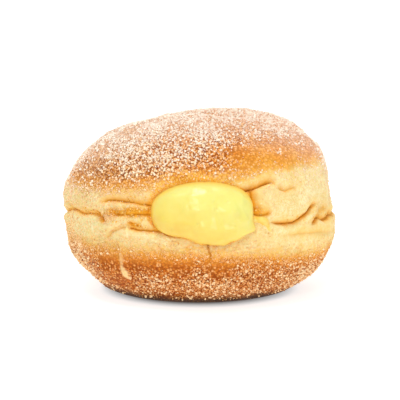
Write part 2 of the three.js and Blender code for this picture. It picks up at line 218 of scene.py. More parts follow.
PUFF_REACH = 1.3
FOLD_REACH = 6
FOLD_FADE = 2
FOLD_SHADE_DEPTH = 1.6  # the depth from which a fold's painted shade is at its full
CREASE_WIDTH = 1.25  # of the painted shade line at the bottom of a fold, as a share of the fold's
CREASE_BELOW = 0.6  # and the share of that below the line
CREASE_POWER = 1.5
SHADE_ABOVE = 2.2  # reach of the golden painted shade above a fold's line, on the underside of the dough that hangs over it, and below it
SHADE_BELOW = 0.6

# Browner dough, and painted shade in the slit's corners and by some folds: bearing, height, reach in degrees
# and millimetres, and how much.
TOASTED_AND_SHADED = [
    (-37, 31, 5.5, 1.6, 0.95),
    (-28, 31.7, 6, 1.7, 1.15),
    (-20, 31.7, 6, 1.6, 1.15),
    # painted shade above the lower left fold
    (-27.4, 27.3, 4, 0.9, 0.95),
    # painted shade in the slit's left corner
    (-43.5, 28, 3, 1.4, 0.8),
    (-8, 42.4, 8, 1.9, 0.85),  # the crust above the dollop
    # painted shade in the slit's right corner, in this row and the next
    (24.6, 31.6, 3.6, 1.8, 0.8),
    (23.4, 35, 2.2, 2.4, 0.4),
    # painted shade by a fold on the right
    (62, 28.6, 7, 2, 0.45),
    (150, 29, 20, 2, 0.5),
    (-150, 28, 18, 2, 0.5),
]
# Millimetres past the belt's edges between which the crust goes from pale to tan and from tan to brown, and
# how brown tan is. Round one bearing, within a reach in degrees, the crown stays tan for more millimetres.
CROWN_TANS = (-2.6, 1.8)
CROWN_BROWNS = (0, 5.5)
CROWN_TAN = 0.45
CROWN_PALER = (32, 20, 9.5)
BASE_TANS = (-8, 1)
BASE_BROWNS = (-3.2, 4)
BASE_TAN = 0.3
TEARS = [  # torn patches of pale crumb: the line as (bearing, height), half width in the middle, and how pale
    ([(-35.4, 14.2), (-34.9, 11.8), (-34.4, 10), (-34, 8)], 1.0, 0.9),
    ([(-34.4, 19.6), (-34.2, 16.8), (-34.7, 13.6)], 0.5, 0.7),
]
TEAR_EDGE = 0.6
TEAR_RAGGED = 0.7
TEAR_BLOBS = 1.1
SCORCH_AND_SHADOW_LOW = 1.5  # the dough nearest to the ground is the darkest, as painted contact shadow along with a more browned underside
SCORCH_AND_SHADOW_HIGH = 7.5
SCORCH_AND_SHADOW_RING = (18, 31)  # millimetres from the middle of the underside between which that comes in
UNDER_SUGAR = 0.75  # how sugary the underside looks
UNDER_SUGAR_ENDS = (1, 5)  # heights between which that ends
FROST_AND_LIGHT_LOW = 48  # the top is pale with the finest sugar and with painted light from above, and that reaches lower at the sides
FROST_AND_LIGHT_HIGH = 60
FROST_AND_LIGHT_SPREAD = 0.0062  # millimetres lower for each square millimetre of X
WARM_AND_SHADED = [  # golden places of the belt, some of them painted shade, as at the slit's right corner and round the less lit back: bearing, height, reach in degrees and millimetres, and how much
    (44, 23.4, 24, 3.2, 0.45),
    (74, 26, 20, 6, 0.2),
    (6, 40.6, 20, 1.8, 0.45),
    (25, 33.4, 4.5, 4, 0.6),
    (66, 21.5, 24, 4, 0.2),
    (-110, 24, 40, 8, 0.06),
    (180, 28, 70, 14, 0.15),
]
LEFT_SHADE_BEARINGS = (10, 56)  # bearings to the left between which the belt and the crown get duller, as painted shade on the side that gets less light
LEFT_SHADE_ENDS = (100, 170)  # and those between which that ends
CRUMBLY = [  # rougher dough at the folds and along the belt's edges: the same five numbers
    (-31, 31, 13, 3.6, 1.0),
    (-48, 30, 9, 2.6, 0.8),
    (-72, 29.5, 14, 1.8, 0.5),
    (-27, 27, 9, 2, 0.8),
    (25, 33, 5, 4, 0.7),
    (36, 37, 8, 2, 0.4),
    (70, 28, 9, 2.4, 0.5),
    (0, 42, 28, 1.8, 0.8),
    (22, 40.6, 11, 2, 0.7),
    (4, 20.6, 24, 3, 0.45),
]
CRUMBLY_ROUGHNESS = [(1.9, 0.5), (1.0, 0.42)]
RIM_TOAST_AND_SHADE_ANGLE = 125  # degrees round the slit from +X towards +Z, where its rim is the darkest, both browned and painted shadow under the overhanging crust
RIM_TOAST_AND_SHADE_TURN = 48
RIM_TOAST_AND_SHADE_WIDE = 3.0
RIM_TOAST_AND_SHADE_THIN = 0.9
POCKET_FROM = (0.4, 0.7)  # millimetres off the uncut surface between which the pocket's wall begins

# Unevenness: broad plane waves as (length, out), then fine noise as (grain size, out) on the crust and in
# the belt.
LUMP_WAVES = [(34, 0.25), (17, 0.22), (9, 0.12)]
WAVES_EACH = 5
GOLDEN_ANGLE = math.pi * (3 - math.sqrt(5))
CRUST_ROUGHNESS = [(3.2, 0.16), (1.3, 0.12)]
BELT_ROUGHNESS = [(4.5, 0.34), (1.8, 0.15), (0.8, 0.05)]
WRINKLE_LENGTH = 7
WRINKLE_HEIGHT = 0.9
WRINKLE_OUT = 0.16

# Mesh fineness.
BALL_CELLS = 118
FRONT_CROWDING = 0.5
BELT_CROWDING = 0.34
CUSTARD_COLUMNS = 240
DOME_ROWS = 90
POCKET_ROWS = 24
CUTTER_FINENESS = (90, 24, 24)  # columns, dome rows and pocket rows of what cuts the pocket


def smoothstep(x, low, high):
    t = np.clip((x - low) / (high - low), 0, 1)
    return t * t * (3 - 2 * t)


def bell(x):
    return np.exp(-x * x)


def turn(bearing):
    """A bearing brought to between -180 and 180."""
    return (bearing + 180) % 360 - 180


def noise_at(points, grain, seed=0.0):
    """Smooth noise from -1 to 1 at points in millimetres; grain is the size of its blobs."""
    shift = Vector((seed, 2 * seed, -seed))
    return np.array([noise.noise(Vector(p) / grain + shift) for p in points.tolist()])


def spots(rows, bearing, height):
    """A soft spot for each row of bearing, height, reach in degrees and millimetres, and amount."""
    return [
        amount * bell(np.hypot(turn(bearing - at) / wide, (height - level) / tall))
        for at, level, wide, tall, amount in rows
    ]


# ---- The plain bun ----


def half_height(up):
    return np.where(up > 0, BUN_HEIGHT - WAIST_HEIGHT, WAIST_HEIGHT + SUNK)


def fullness(up):
    return np.where(up > 0, CROWN_FULLNESS, BASE_FULLNESS)


def surface_along(rays):
    """Where rays from the middle of the waist meet the plain surface."""
    level = np.hypot(rays[:, 0] / (BUN_WIDTH / 2), rays[:, 1] / (BUN_DEPTH / 2))
    n = fullness(rays[:, 2])
    far = (level**n + (np.abs(rays[:, 2]) / half_height(rays[:, 2])) ** n) ** (-1 / n)
    points = rays * far[:, None]
    points[:, 2] += WAIST_HEIGHT
    return points


def surface_at(bearing, height):
    """The points of the plain surface at bearings and heights."""
    bearing, height = np.broadcast_arrays(np.asarray(bearing, float), np.asarray(height, float))
    up = height - WAIST_HEIGHT
    n = fullness(up)
    share = (1 - np.minimum(1, np.abs(up) / half_height(up)) ** n) ** (1 / n)
    angle = np.radians(bearing)
    far = share / np.hypot(np.sin(angle) / (BUN_WIDTH / 2), np.cos(angle) / (BUN_DEPTH / 2))
    return np.stack([far * np.sin(angle), -far * np.cos(angle), height], axis=1)


def bearing_of(points):
    return np.degrees(np.arctan2(points[:, 0], -points[:, 1]))


def outward(points):
    """The way out of the plain surface."""
    up = points[:, 2] - WAIST_HEIGHT
    n = fullness(up)
    level = np.hypot(points[:, 0] / (BUN_WIDTH / 2), points[:, 1] / (BUN_DEPTH / 2))
    level = np.maximum(level, 1e-6) ** (n - 2)
    way = np.stack(
        [
            level * points[:, 0] / (BUN_WIDTH / 2) ** 2,
            level * points[:, 1] / (BUN_DEPTH / 2) ** 2,
            np.sign(up) * np.abs(up) ** (n - 1) / half_height(up) ** n,
        ],
        axis=1,
    )
    return way / np.linalg.norm(way, axis=1)[:, None]


def settle(height):
    """The underside rolls into the flat spot at height 0."""
    rolled = (height + FOOT_ROUNDING) ** 2 / (4 * FOOT_ROUNDING)
    return np.where(height < -FOOT_ROUNDING, 0, np.where(height > FOOT_ROUNDING, height, rolled))


def lean(points):
    """Everything above the waist rises a little towards the right."""
    up = np.clip((points[:, 2] - WAIST_HEIGHT) / (BUN_HEIGHT - WAIST_HEIGHT), 0, 1)
    leant = points.copy()
    leant[:, 2] += CROWN_LEAN * points[:, 0] * up
    return leant


# ---- Relief ----


def lumps(points):
    total = np.zeros(len(points))
    for octave, (length, out) in enumerate(LUMP_WAVES):
        for k in range(WAVES_EACH):
            around = GOLDEN_ANGLE * (k + WAVES_EACH * octave)
            rise = (k + 0.5) / WAVES_EACH * 2 - 1
            level = math.sqrt(1 - rise * rise)
            along = points @ np.array([level * math.cos(around), level * math.sin(around), rise])
            wave = np.sin(2 * math.pi * along / length + 2 * k + octave)
            total += out * wave / math.sqrt(WAVES_EACH / 2)
    return total


def crust_edge(bearing):
    """The height of the browned crown's lower edge."""
    drop = BELT_HIGH_DROP * smoothstep(-bearing, *BELT_HIGH_DROPS)
    rise = BELT_HIGH_RISE * smoothstep(bearing, *BELT_HIGH_RISES)
    front = BELT_HIGH - drop + rise
    return front + (BELT_HIGH_BACK - front) * smoothstep(np.abs(bearing), *BACK)


def base_edge(bearing):
    """The height of the browned base's upper edge."""
    front = BELT_LOW - BELT_LOW_DROP * smoothstep(bearing, *BELT_LOW_DROPS)
    return front + (BELT_LOW_BACK - front) * smoothstep(np.abs(bearing), *BACK)


def past_edge(height, edge, reach):
    """From 0 to 1 where heights pass an edge, over a reach in millimetres below and above it."""
    return smoothstep(height, edge + reach[0], edge + reach[1])


def baked(past, tan, tans, browns):
    """How brown the crust is at millimetres past the belt's edge."""
    return tan * smoothstep(past, *tans) + (1 - tan) * smoothstep(past, *browns)


def catmull_rom(stops, steps):
    """A smooth line through stops, in steps pieces, with centripetal spacing."""
    stops = np.asarray(stops, float)
    padded = np.vstack([2 * stops[0] - stops[1], stops, 2 * stops[-1] - stops[-2]])
    line = []
    for t in np.linspace(0, len(stops) - 1, steps + 1):
        i = min(int(t), len(stops) - 2)
        p0, p1, p2, p3 = padded[i : i + 4]
        u = t - i
        line.append(
            0.5 * (2 * p1 + (p2 - p0) * u + (2 * p0 - 5 * p1 + 4 * p2 - p3) * u**2
                   + (3 * p1 - p0 - 3 * p2 + p3) * u**3)
        )
    return np.array(line)


def line_on_surface(path, steps):
    """A smooth line on the plain surface through stops given as (bearing, height)."""
    return surface_at(*catmull_rom(path, steps).T)


def nearest(points, line):
    """The points' distances to a line, the shares of the line there, and how far above it they are."""
    best = np.full(len(points), np.inf)
    share = np.zeros(len(points))
    above = np.zeros(len(points))
    for i in range(len(line) - 1):
        start, piece = line[i], line[i + 1] - line[i]
        t = np.clip((points - start) @ piece / (piece @ piece), 0, 1)
        away = points - start - t[:, None] * piece
        distance = np.linalg.norm(away, axis=1)
        closer = distance < best
        best[closer] = distance[closer]
        share[closer] = ((i + t) / (len(line) - 1))[closer]
        above[closer] = away[closer, 2]
    return best, share, above


def folded(points):
    """How far the folds sink the surface and draw it down, and how strong the painted shade is at and above
    their lines.
    """
    sink, draw, crease_shade, warmth_and_shade = np.zeros((4, len(points)))
    points = points.copy()
    for grain, far in WOBBLE:
        points[:, 2] += far * noise_at(points, grain, seed=17.0)
    for path, depth, width, puff, under, opens in FOLDS.values():
        line = line_on_surface(path, FOLD_STEPS)
        reach = FOLD_REACH * width
        near = np.flatnonzero(
            np.all((points > line.min(0) - reach) & (points < line.max(0) + reach), axis=1)
        )
        distance, share, above = nearest(points[near], line)
        start = 1 if opens == "start" else smoothstep(share, 0, FOLD_TAPER)
        end = 1 if opens == "end" else 1 - smoothstep(share, 1 - FOLD_TAPER, 1)
        strength = start * end * (1 - smoothstep(distance, reach - FOLD_FADE * width, reach))
        upper = smoothstep(above / np.maximum(distance, 1e-6), -LIP_TURN, LIP_TURN)
        wide = width * (LIP_SHARPNESS + (ROLL - LIP_SHARPNESS) * upper)
        groove = depth * strength * np.exp(-distance / wide)
        sink[near] += groove - puff * strength * bell((distance / width - PUFF_AWAY) / PUFF_REACH)
        draw[near] += under * groove
        fold_shade = min(1, depth / FOLD_SHADE_DEPTH) * strength
        thin = CREASE_WIDTH * width * (CREASE_BELOW + (1 - CREASE_BELOW) * upper)
        crease_shade[near] = np.maximum(crease_shade[near], fold_shade * np.exp(-((distance / thin) ** CREASE_POWER)))
        shade_reach = SHADE_BELOW + (SHADE_ABOVE - SHADE_BELOW) * upper
        warmth_and_shade[near] = np.maximum(warmth_and_shade[near], fold_shade * np.exp(-distance / shade_reach))
    return sink, draw, crease_shade, warmth_and_shade


def cracked(points):
    """How far the cracks sink the surface, and how much of each place they take, which is painted dark as the
    shade inside them.
    """
    sink, crack = np.zeros((2, len(points)))
    bent = points.copy()
    bent[:, 0] += CRACK_WOBBLE * noise_at(points, CRACK_BLOBS, seed=23.0)
    for path, depth, width in CRACKS:
        distance, share, _ = nearest(bent, line_on_surface(path, FOLD_STEPS))
        strength = 1 - smoothstep(share, CRACK_ENDS, 1)
        sink += depth * strength * np.exp(-distance / width)
        crack = np.maximum(crack, min(1, depth) * strength * bell(distance / width))
    return sink, crack


# ---- The custard's outline and the rim of the slit ----


def outline(angle, small=0.0):
    """The dollop's radius at angles in the front view."""
    across = np.abs(np.cos(angle)) / DOLLOP_HALF_WIDTH
    up = np.abs(np.sin(angle)) / DOLLOP_HALF_HEIGHT
    radius = (across**DOLLOP_FULLNESS + up**DOLLOP_FULLNESS) ** (-1 / DOLLOP_FULLNESS)
    for at, reach, out in OUTLINE_LOBES:
        weight = small if reach < SMALL_LOBE else 1.0
        radius = radius + weight * out * bell(turn(np.degrees(angle) - at) / reach)
    return radius


def rim_depth(x, z):
    """The depth, along Y, of the dollop's widest section."""
    curl = (x - DOLLOP_X) ** 2 / (2 * RIM_CURL_RADIUS)
    return -BUN_DEPTH / 2 + RIM_INSET + RIM_SLANT * (z - DOLLOP_HEIGHT) + curl


def outside_rim(points):
    """How far points lie outside the slit's rim in the front view. Points of the back count as far away."""
    x = points[:, 0] - DOLLOP_X
    up = points[:, 2] - DOLLOP_HEIGHT
    outside = np.hypot(x, up) - outline(np.arctan2(up, x))
    return np.where(points[:, 1] < 0, outside, BUN_WIDTH)


def drawn_in(points):
    """The dough round the slit is drawn in to the rim, behind a low lip."""
    outside = outside_rim(points)
    drawn = points.copy()
    drawn[:, 1] -= LIP * bell((outside - LIP_FROM_RIM) / LIP_REACH)
    gap = np.maximum(0, rim_depth(drawn[:, 0], drawn[:, 2]) - drawn[:, 1])
    drawn[:, 1] += np.where(outside < MOAT, gap * (1 - smoothstep(outside, 0, MOAT)), 0)
    return drawn


# ---- Meshes ----


def even_ball(cells):
    """Unit directions of a cube's grids blown up to a ball, and the quads that join them."""
    t = np.tan(np.linspace(-1, 1, cells + 1) * math.pi / 4)
    u, v = (a.ravel() for a in np.meshgrid(t, t, indexing="ij"))
    one = np.ones_like(u)
    sides = [(one, u, v), (-one, v, u), (v, one, u), (u, -one, v), (u, v, one), (v, u, -one)]
    points = np.concatenate([np.stack(side, axis=1) for side in sides])
    points /= np.linalg.norm(points, axis=1)[:, None]
    row, column = (a.ravel() for a in np.meshgrid(np.arange(cells), np.arange(cells), indexing="ij"))
    corner = row * (cells + 1) + column
    quad = np.stack([corner, corner + cells + 1, corner + cells + 2, corner + 1], axis=1)
    quads = np.concatenate([quad + side * (cells + 1) ** 2 for side in range(6)])
    _, first, joined = np.unique(np.round(points, 7), axis=0, return_index=True, return_inverse=True)
    return points[first], joined.reshape(-1)[quads]


def crowded(rays):
    """The rays drawn towards the front and the belt."""
    up = np.arcsin(np.clip(rays[:, 2], -1, 1))
    around = np.arctan2(rays[:, 0], -rays[:, 1])
    up = up - BELT_CROWDING / 2 * np.sin(2 * up)
    rays = np.stack([np.cos(up) * np.sin(around), -np.cos(up) * np.cos(around), np.sin(up)], axis=1)
    off = np.arccos(np.clip(-rays[:, 1], -1, 1))
    near = off - FRONT_CROWDING * np.sin(off)
    side = np.sin(near) / np.maximum(np.sin(off), 1e-6)
    return np.stack([rays[:, 0] * side, -np.cos(near), rays[:, 2] * side], axis=1)


def linked(name, data):
    """A new object of the scene."""
    made = bpy.data.objects.new(name, data)
    bpy.context.scene.collection.objects.link(made)
    return made


def new_object(name, points, faces, smooth=True):
    """A mesh object from points in millimetres and faces that all have the same number of sides."""
    mesh = bpy.data.meshes.new(name)
    faces = np.asarray(faces)
    starts = np.arange(0, faces.size, faces.shape[1], dtype=np.int32)
    mesh.vertices.add(len(points))
    mesh.vertices.foreach_set("co", (np.asarray(points) * SCALE).astype(np.float32).ravel())
    mesh.loops.add(faces.size)
    mesh.loops.foreach_set("vertex_index", faces.astype(np.int32).ravel())
    mesh.polygons.add(len(faces))
    mesh.polygons.foreach_set("loop_start", starts)
    mesh.polygons.foreach_set("use_smooth", np.full(len(faces), smooth))
    mesh.update(calc_edges=True)
    return linked(name, mesh)


def rings_to_faces(rings, columns):
    """The faces of a tube of rings closed by one point at each end; the ends come first and last."""
    k = np.arange(columns)
    after = (k + 1) % columns
    quads = []
    for ring in range(rings - 1):
        low, high = 1 + ring * columns, 1 + (ring + 1) * columns
        quads.append(np.stack([low + k, low + after, high + after, high + k], axis=1))
    last = 1 + rings * columns
    top = np.stack([np.zeros_like(k), 1 + after, 1 + k], axis=1)
    end = 1 + (rings - 1) * columns
    bottom = np.stack([np.full_like(k, last), end + k, end + after], axis=1)
    return np.concatenate(quads), np.concatenate([top, bottom])


def ringed_object(name, points, rings, columns):
    """A smooth closed mesh object from a point, rings of points and a point."""
    quads, ends = rings_to_faces(rings, columns)
    mesh = bpy.data.meshes.new(name)
    mesh.from_pydata((points * SCALE).tolist(), [], quads.tolist() + ends.tolist())
    mesh.polygons.foreach_set("use_smooth", np.full(len(mesh.polygons), True))
    return linked(name, mesh)


def points_of(mesh):
    """A mesh's vertices in millimetres."""
    flat = np.empty(len(mesh.vertices) * 3, np.float32)
    mesh.vertices.foreach_get("co", flat)
    return flat.reshape(-1, 3).astype(float) / SCALE


def set_attribute(mesh, name, values):
    attribute = mesh.attributes.new(name, "FLOAT", "POINT")
    attribute.data.foreach_set("value", np.asarray(values, np.float32))


def dough_surface(plain):
    """The finished surface for points of the plain one, and what is known of each place on it."""
    bearing, height = bearing_of(plain), plain[:, 2]
    crown_edge, low_edge = crust_edge(bearing), base_edge(bearing)
    relief = smoothstep(height, 0, FOOT_FADE)
    below = 1 - past_edge(height, low_edge, BASE_FRIES)
    fried = np.maximum(past_edge(height, crown_edge, CROWN_FRIES), below)
    crumbly = np.max(spots(CRUMBLY, bearing, height), axis=0)
    out = lumps(plain)
    for spot in spots(SWELLS, bearing, height):
        out += spot
    for share, roughness, seed in (
        (fried, CRUST_ROUGHNESS, 3.0),
        (1 - fried, BELT_ROUGHNESS, 7.0),
        (crumbly, CRUMBLY_ROUGHNESS, 29.0),
    ):
        for grain, size in roughness:
            out += size * share * noise_at(plain, grain, seed)
    stretch = np.array([1 / WRINKLE_LENGTH, 1 / WRINKLE_LENGTH, 1 / WRINKLE_HEIGHT])
    out += WRINKLE_OUT * (1 - fried) * noise_at(plain * stretch, 1.0, seed=11.0)
    sink, draw, crease_shade, warmth_and_shade = folded(plain)
    for spot in spots(WARM_AND_SHADED, bearing, height):
        warmth_and_shade += spot
    split, crack = cracked(plain)
    points = plain + outward(plain) * ((out - sink - split) * relief)[:, None]
    points[:, 2] = settle(points[:, 2] - draw * relief) + RESTS * (1 - relief)
    at, reach, longer = CROWN_PALER
    browns = (CROWN_BROWNS[0], CROWN_BROWNS[1] + longer * bell(turn(bearing - at) / reach))
    crown_brown = baked(height - crown_edge, CROWN_TAN, CROWN_TANS, browns)
    base_brown = baked(low_edge - height, BASE_TAN, BASE_TANS, BASE_BROWNS)
    # Painted shade on the left side of the belt and the crown.
    left_shade = smoothstep(-bearing, *LEFT_SHADE_BEARINGS) * (1 - smoothstep(-bearing, *LEFT_SHADE_ENDS)) * (1 - below)
    return lean(drawn_in(points)), {
        "bearing": bearing,
        "height": height,
        "fried": fried,
        "brown": np.maximum(crown_brown, base_brown),
        "base": 1 - past_edge(height, low_edge, BASE_LOOKS),
        "toast_and_shade": np.max(spots(TOASTED_AND_SHADED, bearing, height), axis=0),
        "left_shade": left_shade,
        "crease_shade": crease_shade,
        "warmth_and_shade": np.minimum(warmth_and_shade, 1),
        "crack": crack,
        "crumbly": crumbly,
    }


def custard_rings(grow, columns, dome_rows, pocket_rows):
    """The custard's rings, or those of the pocket for it when grown, with the two end points."""
    angle = -2 * math.pi * np.arange(columns) / columns
    rings = []

    def ring(scale, depth, sag, small):
        radius = outline(angle, small) * scale + grow
        x = DOLLOP_X + radius * np.cos(angle)
        z = DOLLOP_HEIGHT + radius * np.sin(angle) - sag
        return np.stack([x, rim_depth(x, z) + depth, z], axis=1)

    power = 2 / DOLLOP_DOME_FULLNESS
    for i in range(1, dome_rows + 1):
        round_angle = math.pi / 2 * i / dome_rows
        forward = max(math.cos(round_angle), 0) ** power
        small = bell((forward - SMALL_LOBE_FORWARD) / SMALL_LOBE_FORWARD)
        depth = -(DOLLOP_BULGE + grow) * forward
        rings.append(ring(math.sin(round_angle) ** power, depth, DOLLOP_SAG * forward, small))
    for i in range(1, pocket_rows):
        t = math.sin(math.pi / 2 * i / pocket_rows)
        throat = POCKET_THROAT * bell((t - THROAT_AT) / THROAT_REACH)
        swell = POCKET_SWELL * math.sin(math.pi * t) ** 2
        closing = math.sqrt(1 - t**4)
        rings.append(ring((1 - throat + swell) * closing, (POCKET_DEPTH + grow) * t, 0, 0))

    def middle(depth, z):
        return np.array([[DOLLOP_X, rim_depth(DOLLOP_X, z) + depth, z]])

    front = middle(-DOLLOP_BULGE - grow, DOLLOP_HEIGHT - DOLLOP_SAG)
    back = middle(POCKET_DEPTH + grow, DOLLOP_HEIGHT)
    return lean(np.concatenate([front, *rings, back])), len(rings)


def custard_object(name, grow, columns, dome_rows, pocket_rows, shaped=None):
    points, rings = custard_rings(grow, columns, dome_rows, pocket_rows)
    if shaped:
        points = shaped(points)
    return ringed_object(name, points, rings, columns)


# ---- Pieces ----


def cut_pocket(dough):
    cutter = custard_object("pocket_cutter", GAP, *CUTTER_FINENESS)
    cut = dough.modifiers.new("pocket", "BOOLEAN")
    cut.operation = "DIFFERENCE"
    cut.solver = "MANIFOLD"
    cut.object = cutter
    whole = dough.evaluated_get(bpy.context.evaluated_depsgraph_get())
    mesh = bpy.data.meshes.new_from_object(whole)
    dough.modifiers.clear()
    dough.data = mesh
    bpy.data.objects.remove(cutter)


def nearest_points(points, places):
    """For each place, the number of the nearest point and how far away it is."""
    tree = kdtree.KDTree(len(points))
    for i, p in enumerate(points.tolist()):
        tree.insert(p, i)
    tree.balance()
    found = [tree.find(p) for p in places.tolist()]
    return np.array([f[1] for f in found]), np.array([f[2] for f in found])


def rim_toast_and_shade(points, outside):
    """How browned the dough is round the slit, together with the painted shadow where the custard meets it.
    """
    around = np.degrees(np.arctan2(points[:, 2] - DOLLOP_HEIGHT, points[:, 0] - DOLLOP_X))
    darker_by_angle = bell(turn(around - RIM_TOAST_AND_SHADE_ANGLE) / RIM_TOAST_AND_SHADE_TURN)
    wide = RIM_TOAST_AND_SHADE_THIN + (RIM_TOAST_AND_SHADE_WIDE - RIM_TOAST_AND_SHADE_THIN) * darker_by_angle
    return bell(np.maximum(outside, 0) / wide)


def make_dough():
    """The dough with its pocket and its marks, and how thickly the sugar lies on it."""
    rays, quads = even_ball(BALL_CELLS)
    points, known = dough_surface(surface_along(crowded(rays)))
    dough = new_object("dough_crust", points, quads)
    cut_pocket(dough)
    final = points_of(dough.data)
    index, away = nearest_points(points, final)
    known = {name: values[index] for name, values in known.items()}
    height = known["height"]
    known["pocket"] = smoothstep(away, *POCKET_FROM)
    known["outside"] = outside_rim(final)
    known["rim"] = rim_toast_and_shade(final, known["outside"])
    known["tear"] = torn(final)
    # The darkest dough near the ground: painted contact shadow along with a more browned underside, in a ring
    # round the middle.
    ring = smoothstep(np.hypot(final[:, 0], final[:, 1]), *SCORCH_AND_SHADOW_RING)
    known["scorch_and_shadow"] = ring * (1 - smoothstep(height, SCORCH_AND_SHADOW_LOW, SCORCH_AND_SHADOW_HIGH)) ** 3
    clumps, crown, base, belt = sugar_density(known, final)
    under = UNDER_SUGAR * (1 - smoothstep(height, *UNDER_SUGAR_ENDS))
    shown = crown + base + under + BELT_SUGAR_SHOWN * np.minimum(belt, 1)
    known["sugar"] = np.minimum(1, shown * (SUGAR_EVENNESS + clumps))
    # The pale top: the finest sugar and painted light from above.
    known["frost_and_light"] = smoothstep(height + FROST_AND_LIGHT_SPREAD * final[:, 0] ** 2, FROST_AND_LIGHT_LOW, FROST_AND_LIGHT_HIGH)
    for name in MARKS:
        set_attribute(dough.data, name, known[name])
    mark_sharp(dough.data)
    return dough, (clumps, crown, base, belt)


def torn(points):
    """How much of each place the torn patches take."""
    ragged_by = TEAR_RAGGED * noise_at(points, TEAR_BLOBS, seed=13.0)
    most = np.zeros(len(points))
    for path, half_width, pale in TEARS:
        away, share, _ = nearest(points, line_on_surface(path, FOLD_STEPS))
        inside = half_width * np.sin(math.pi * share) - away - ragged_by
        most = np.maximum(most, pale * smoothstep(inside, -TEAR_EDGE, TEAR_EDGE))
    return most


def mark_sharp(mesh, limit=50):
    """Edges that bend more than limit degrees are shaded sharp."""
    mesh.polygons.foreach_set("use_smooth", np.full(len(mesh.polygons), True))
    mesh.set_sharp_from_angle(angle=math.radians(limit))


def shaped_custard(points):
    """Soft dents and swells in the dollop."""
    rim = BUN_DEPTH / 2 - RIM_INSET
    front = smoothstep(-points[:, 1], rim - FACE_FADE, BUN_DEPTH / 2 + FACE_FADE)
    away = points - np.array([DOLLOP_X, -rim, DOLLOP_HEIGHT])
    away /= np.linalg.norm(away, axis=1)[:, None] + 1e-9
    out = sum(size * noise_at(points, grain, seed) for grain, size, seed in CUSTARD_WAVES)
    for x, z, wide, tall, swell in CUSTARD_SWELLS:
        out += swell * bell(np.hypot((points[:, 0] - x) / wide, (points[:, 2] - z) / tall))
    for x, z, radius, depth in PITS:
        out -= depth * bell(np.hypot(points[:, 0] - x, points[:, 2] - z) / radius)
    return points + away * (out * front)[:, None]


def make_custard():
    """The filling; its edge attribute goes from 0 at the front of the dollop to 1 at the rim."""
    fineness = (CUSTARD_COLUMNS, DOME_ROWS, POCKET_ROWS)
    custard = custard_object("custard_filling", 0.0, *fineness, shaped_custard)
    rings = (len(custard.data.vertices) - 2) // CUSTARD_COLUMNS
    edge = np.repeat(np.arange(rings) / DOME_ROWS, CUSTARD_COLUMNS)
    set_attribute(custard.data, "edge", np.concatenate([[0], edge, [1]]))
    return custard


# ---- Things that lie on the finished dough ----

SMEAR_PATH = [(17.5, 28.2), (21, 29), (25, 28.9), (28.6, 27.8), (30.8, 24.8)]  # as (bearing, height)
SMEAR_STEPS = 40
SMEAR_HALF_WIDTH = 1.25
SMEAR_THICKNESS = 0.3
SMEAR_ROOT = 0.3  # how deep its underside lies in the dough
SMEAR_ACROSS = np.linspace(-1, 1, 7)
SMEAR_STARTS = 0.12  # its width follows a sine, from this share of it
SMEAR_BLUNTNESS = 0.6
SMEAR_UNEVEN = 0.5
SMEAR_BLOBS = 2.5
SMEAR_TIP = 0.02
CRUMBS = [  # heaps of crumbs: bearing, height, spread in degrees and millimetres, and how many
    (-51, 30.6, 4, 0.8, 12),
    (-43, 30.6, 3, 0.8, 10),
    (-33, 31.2, 6, 0.9, 22),
    (-27, 27.4, 5, 0.8, 12),
    (-24, 35.6, 7, 1.2, 10),
    (24.5, 31.6, 1.6, 1.4, 4),
    (62, 27.6, 6, 0.9, 10),
    (46, 28.4, 6, 0.7, 5),
]
CRUMB_SIZES = (0.3, 0.75)
CRUMB_FORM = {"jitter": 0.2, "sunk": 0.3, "smooth": True}
DROP = 6  # millimetres above the plain surface from which things are dropped on the finished one


def drop_on(tree, plain):
    """The places on the finished dough under points of the plain bun, and the way out there."""
    ways = outward(plain)
    starts = lean(plain + DROP * ways).tolist()
    hits = [tree.ray_cast(Vector(start), -Vector(way)) for start, way in zip(starts, ways.tolist())]
    return np.array([hit[0] for hit in hits]), np.array([hit[1] for hit in hits])


def make_smear(tree):
    """A thin strip of custard that the slit has left on the lower lip."""
    middle = line_on_surface(SMEAR_PATH, SMEAR_STEPS)
    side = np.cross(outward(middle), np.gradient(middle, axis=0))
    side /= np.linalg.norm(side, axis=1)[:, None]
    share = np.linspace(SMEAR_STARTS, 1, len(middle))
    uneven = 1 + SMEAR_UNEVEN * noise_at(middle, SMEAR_BLOBS, seed=31.0)
    half = SMEAR_HALF_WIDTH * np.sin(math.pi * share) ** SMEAR_BLUNTNESS * uneven + SMEAR_TIP
    rings = []
    for place, way_across, wide in zip(middle, side, half):
        plain = place + SMEAR_ACROSS[:, None] * wide * way_across
        on, way = drop_on(tree, plain)
        thick = SMEAR_THICKNESS * wide / SMEAR_HALF_WIDTH * np.sqrt(1 - SMEAR_ACROSS**2)
        rings.append(np.concatenate([on + way * thick[:, None], (on - way * SMEAR_ROOT)[::-1]]))
    points = np.concatenate([[rings[0].mean(0)], *rings, [rings[-1].mean(0)]])
    return ringed_object("custard_smear", points, len(rings), len(rings[0]))


def make_crumbs(tree):
    """Crumbs of the torn dough in and beside the folds."""
    rng = np.random.default_rng(7)
    around, level = [], []
    for bearing, height, wide, tall, count in CRUMBS:
        around.append(bearing + wide * rng.standard_normal(count))
        level.append(height + tall * rng.standard_normal(count))
    places, ways = drop_on(tree, surface_at(np.concatenate(around), np.concatenate(level)))
    sizes = rng.uniform(*CRUMB_SIZES, len(places))
    form, sides = even_ball(2)
    return grains("crumbs", places, ways, sizes, 0.5 * form, sides, rng, **CRUMB_FORM)


# ---- Sugar ----

